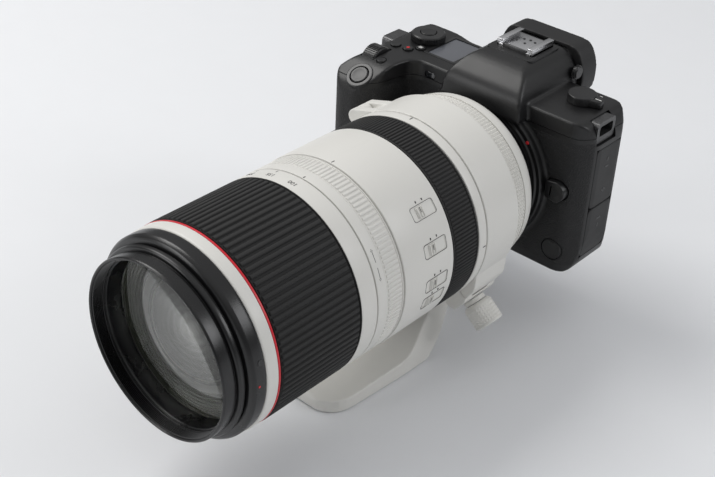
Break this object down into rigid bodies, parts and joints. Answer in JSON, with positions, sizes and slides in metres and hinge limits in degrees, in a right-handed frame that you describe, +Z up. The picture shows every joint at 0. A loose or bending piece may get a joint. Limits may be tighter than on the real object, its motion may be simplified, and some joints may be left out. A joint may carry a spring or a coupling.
{
  "type": "mirrorless camera with telephoto zoom lens",
  "caption": "Full-frame mirrorless camera with a white telephoto zoom lens at its shortest setting, standing on the foot of the lens's tripod collar.",
  "frame": {"origin": "point on the flat underside of the tripod foot, under the lens axis", "axes": "-Y along the lens axis, out of the front of the lens; +Z up; +X towards the camera's port side, the grip is on -X"},
  "size_m": [0.1384, 0.2676, 0.1371],
  "materials": {
    "body_black": "fine matt black",
    "grip_rubber": "leather-grain rubber",
    "rubber": "matt rubber",
    "ring_rubber": "ribbed rubber",
    "gloss_black": "gloss",
    "white_paint": "fine matt white paint",
    "white_shell": "fine matt white",
    "lens_black": "satin black anodised",
    "steel": "brushed",
    "screen": "gloss",
    "glass": "coated",
    "board": "board lacquer",
    "cell": "moulded"
  },
  "bodies": {
    "camera_body": {"front_cover": "body_black", "rear_cover": "body_black", "top_cover": "body_black", "base_plate": "body_black", "grip_cover": "grip_rubber", "chassis": "lens_black", "body_mount": "steel", "shutter_unit": "gloss_black", "sensor_unit": "cell", "main_board": "board", "battery": "cell", "memory_card": "cell", "eyepiece_lens": "glass", "eyecup": "rubber", "hot_shoe": "steel", "top_display": "screen", "strap_lug_grip_side": "steel", "strap_lug_port_side": "steel"},
    "screen": {"screen_panel": "screen", "screen_hinge": "body_black"},
    "lens": {"lens_mount": "steel", "fixed_barrel": "white_paint"},
    "zoom_head": {"zoom_barrel": "lens_black", "front_element": "glass"},
    "collar": {"collar_base": "white_paint", "collar_hinge_pin": "steel"},
    "lens_release_button": {"lens_release_button": "body_black"},
    "lens_lock_pin": {"lens_lock_pin": "steel"},
    "battery_door": {"battery_door": "body_black"},
    "card_door": {"card_door": "grip_rubber"},
    "mode_dial": {"mode_dial": "body_black"},
    "mode_button": {"mode_button": "body_black"},
    "main_dial": {"main_dial": "body_black"},
    "shutter_button": {"shutter_button": "gloss_black"},
    "power_lever": {"power_lever": "body_black"},
    "rear_dial": {"rear_dial": "body_black"},
    "set_button": {"set_button": "body_black"},
    "joystick": {"joystick": "rubber"},
    "upper_port_cover": {"upper_port_cover": "rubber"},
    "lower_port_cover": {"lower_port_cover": "rubber"},
    "remote_cover": {"remote_cover": "rubber"},
    "multi_function_button": {"multi_function_button": "body_black"},
    "movie_button": {"movie_button": "body_black"},
    "lock_button": {"lock_button": "body_black"},
    "lamp_button": {"lamp_button": "body_black"},
    "af_start_button": {"af_start_button": "body_black"},
    "menu_button": {"menu_button": "body_black"},
    "control_ring": {"control_ring": "white_shell"},
    "focus_ring": {"focus_ring": "ring_rubber"},
    "tension_ring": {"tension_ring": "white_paint"},
    "zoom_ring": {"zoom_ring": "ring_rubber"},
    "focus_limit_switch": {"focus_limit_switch": "white_shell"},
    "focus_mode_switch": {"focus_mode_switch": "white_shell"},
    "stabiliser_switch": {"stabiliser_switch": "white_shell"},
    "stabiliser_mode_switch": {"stabiliser_mode_switch": "white_shell"},
    "collar_top": {"collar_top": "white_paint"},
    "collar_screw": {"collar_screw": "steel"},
    "collar_knob": {"collar_knob": "white_shell"},
    "aperture_unit": {"aperture_unit": "gloss_black"},
    "focus_group": {"focus_group": "glass"}
  },
  "joints": [
    {"name": "shutter_press", "type": "slide", "parent": "camera_body", "child": "shutter_button", "axis": [0, -0.5446, 0.8387], "range_m": [-0.001, 0], "stiffness_N_per_m": 300},
    {"name": "multi_function_press", "type": "slide", "parent": "camera_body", "child": "multi_function_button", "axis": [0, 0, 1], "range_m": [-0.0006, 0], "stiffness_N_per_m": 300},
    {"name": "lock_press", "type": "slide", "parent": "camera_body", "child": "lock_button", "axis": [0, 0, 1], "range_m": [-0.0005, 0], "stiffness_N_per_m": 300},
    {"name": "movie_press", "type": "slide", "parent": "camera_body", "child": "movie_button", "axis": [0, 0, 1], "range_m": [-0.0006, 0], "stiffness_N_per_m": 300},
    {"name": "lamp_press", "type": "slide", "parent": "camera_body", "child": "lamp_button", "axis": [0, 0, 1], "range_m": [-0.0005, 0], "stiffness_N_per_m": 300},
    {"name": "mode_button_press", "type": "slide", "parent": "camera_body", "child": "mode_button", "axis": [0, 0, 1], "range_m": [-0.0005, 0], "stiffness_N_per_m": 300},
    {"name": "set_press", "type": "slide", "parent": "camera_body", "child": "set_button", "axis": [0, 1, 0], "range_m": [-0.0005, 0], "stiffness_N_per_m": 300},
    {"name": "joystick_press", "type": "slide", "parent": "camera_body", "child": "joystick", "axis": [0, 1, 0], "range_m": [-0.0006, 0], "stiffness_N_per_m": 300},
    {"name": "af_start_press", "type": "slide", "parent": "camera_body", "child": "af_start_button", "axis": [0, 1, 0], "range_m": [-0.0006, 0], "stiffness_N_per_m": 300},
    {"name": "menu_press", "type": "slide", "parent": "camera_body", "child": "menu_button", "axis": [0, 1, 0], "range_m": [-0.0006, 0], "stiffness_N_per_m": 300},
    {"name": "mode_dial_turn", "type": "hinge", "parent": "camera_body", "child": "mode_dial", "pos_m": [-0.056, 0.107, 0.1195], "axis": [0, 0, 1], "continuous": true},
    {"name": "main_dial_turn", "type": "hinge", "parent": "camera_body", "child": "main_dial", "pos_m": [-0.065, 0.077, 0.1143], "axis": [1, 0, 0], "continuous": true},
    {"name": "rear_dial_turn", "type": "hinge", "parent": "camera_body", "child": "rear_dial", "pos_m": [-0.058, 0.124, 0.0635], "axis": [0, 1, 0], "continuous": true},
    {"name": "power_lever_turn", "type": "hinge", "parent": "camera_body", "child": "power_lever", "pos_m": [0.0385, 0.107, 0.1195], "axis": [0, 0, 1], "range_deg": [0, 35]},
    {"name": "screen_swing", "type": "hinge", "parent": "camera_body", "child": "screen", "pos_m": [0.0483, 0.12325, 0.078], "axis": [0, 0, -1], "range_deg": [0, 175]},
    {"name": "battery_door_swing", "type": "hinge", "parent": "camera_body", "child": "battery_door", "pos_m": [-0.0745, 0.08, 0.0365], "axis": [0, 1, 0], "range_deg": [0, 95]},
    {"name": "card_door_swing", "type": "hinge", "parent": "camera_body", "child": "card_door", "pos_m": [-0.08, 0.102, 0.0785], "axis": [0, 0, 1], "range_deg": [0, 80]},
    {"name": "upper_port_cover_swing", "type": "hinge", "parent": "camera_body", "child": "upper_port_cover", "pos_m": [0.0585, 0.095, 0.078], "axis": [0, 0, 1], "range_deg": [-80, 0]},
    {"name": "lower_port_cover_swing", "type": "hinge", "parent": "camera_body", "child": "lower_port_cover", "pos_m": [0.0585, 0.095, 0.078], "axis": [0, 0, 1], "range_deg": [-80, 0]},
    {"name": "remote_cover_swing", "type": "hinge", "parent": "camera_body", "child": "remote_cover", "pos_m": [0.0465, 0.085, 0.043], "axis": [1, 0, 0], "range_deg": [0, 80]},
    {"name": "lens_release_press", "type": "slide", "parent": "camera_body", "child": "lens_release_button", "axis": [0, 1, 0], "range_m": [0, 0.002], "stiffness_N_per_m": 500, "springref_m": -0.001},
    {"name": "lock_pin_draw", "type": "slide", "parent": "camera_body", "child": "lens_lock_pin", "axis": [0, 1, 0], "range_m": [0, 0.002]},
    {"name": "bayonet_turn", "type": "hinge", "parent": "camera_body", "child": "lens", "pos_m": [0, 0.08, 0.078], "axis": [0, -1, 0], "range_deg": [0, 60]},
    {"name": "control_ring_turn", "type": "hinge", "parent": "lens", "child": "control_ring", "pos_m": [0, 0.058, 0.078], "axis": [0, 1, 0], "continuous": true},
    {"name": "focus_ring_turn", "type": "hinge", "parent": "lens", "child": "focus_ring", "pos_m": [0, 0.013, 0.078], "axis": [0, 1, 0], "continuous": true},
    {"name": "tension_ring_turn", "type": "hinge", "parent": "lens", "child": "tension_ring", "pos_m": [0, -0.037, 0.078], "axis": [0, 1, 0], "range_deg": [0, 35]},
    {"name": "zoom_ring_turn", "type": "hinge", "parent": "lens", "child": "zoom_ring", "pos_m": [0, -0.07, 0.078], "axis": [0, 1, 0], "range_deg": [0, 80]},
    {"name": "zoom_extend", "type": "slide", "parent": "lens", "child": "zoom_head", "axis": [0, -1, 0], "range_m": [0, 0.0875]},
    {"name": "aperture_travel", "type": "slide", "parent": "lens", "child": "aperture_unit", "axis": [0, -1, 0], "range_m": [0, 0.0242]},
    {"name": "focus_travel", "type": "slide", "parent": "lens", "child": "focus_group", "axis": [0, -1, 0], "range_m": [-0.012, 0.012]},
    {"name": "focus_limit_slide", "type": "slide", "parent": "lens", "child": "focus_limit_switch", "axis": [0, 1, 0], "range_m": [0, 0.004]},
    {"name": "focus_mode_slide", "type": "slide", "parent": "lens", "child": "focus_mode_switch", "axis": [0, 1, 0], "range_m": [0, 0.004]},
    {"name": "stabiliser_slide", "type": "slide", "parent": "lens", "child": "stabiliser_switch", "axis": [0, 1, 0], "range_m": [0, 0.004]},
    {"name": "stabiliser_mode_slide", "type": "slide", "parent": "lens", "child": "stabiliser_mode_switch", "axis": [0, 1, 0], "range_m": [0, 0.004]},
    {"name": "collar_turn", "type": "hinge", "parent": "lens", "child": "collar", "pos_m": [0, 0.04, 0.078], "axis": [0, 1, 0], "continuous": true},
    {"name": "collar_open", "type": "hinge", "parent": "collar", "child": "collar_top", "pos_m": [-0.03586, 0.036, 0.11109], "axis": [0, -1, 0], "range_deg": [0, 70]},
    {"name": "clamp_knob_turn", "type": "hinge", "parent": "collar_screw", "child": "collar_knob", "pos_m": [0.03448, 0.04, 0.03601], "axis": [0.766, 0, -0.6428], "range_deg": [0, 730]},
    {"name": "clamp_screw_travel", "type": "slide", "parent": "collar", "child": "collar_screw", "axis": [0.766, 0, -0.6428], "range_m": [0, 0.002]}
  ],
  "couplings": [
    {"joint": "lock_pin_draw", "follows": "lens_release_press", "ratio": 1},
    {"joint": "zoom_extend", "follows": "zoom_ring_turn", "m_per_rad": 0.062309},
    {"joint": "aperture_travel", "follows": "zoom_ring_turn", "m_per_rad": 0.017189},
    {"joint": "clamp_knob_turn", "follows": "clamp_screw_travel", "rad_per_m": 6283.2}
  ]
}
